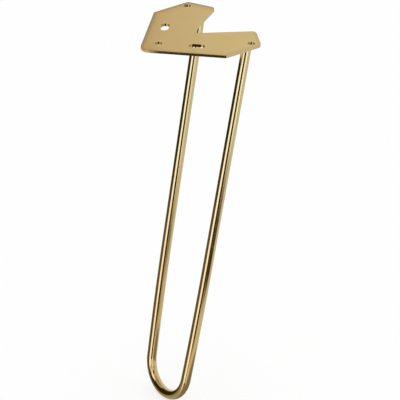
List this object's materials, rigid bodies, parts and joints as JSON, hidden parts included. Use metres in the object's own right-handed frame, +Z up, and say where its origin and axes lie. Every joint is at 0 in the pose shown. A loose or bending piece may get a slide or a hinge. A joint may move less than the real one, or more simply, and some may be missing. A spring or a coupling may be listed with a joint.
{
  "type": "hairpin table leg",
  "caption": "Hairpin table leg: a round rod bent into a slim splayed U and welded under a flat boomerang-shaped screw plate, all brass plated.",
  "frame": {"origin": "on the axis of the corner screw hole, on the plate's top face, which lies against the table's underside", "axes": "+Z up, out of the plate's top face; +Y from the plate's outer corner inwards along its diagonal; +X across the leg, so the part is mirror symmetric about X = 0"},
  "size_m": [0.1206, 0.1108, 0.4063],
  "materials": {
    "plate_brass": "satin brass plating on steel plate",
    "rod_brass": "polished brass plating on steel rod",
    "weld_brass": "brass plating over a fillet weld"
  },
  "bodies": {
    "root": {"top_plate": "plate_brass", "hairpin_rod": "rod_brass", "weld_beads": "weld_brass"}
  },
  "joints": []
}
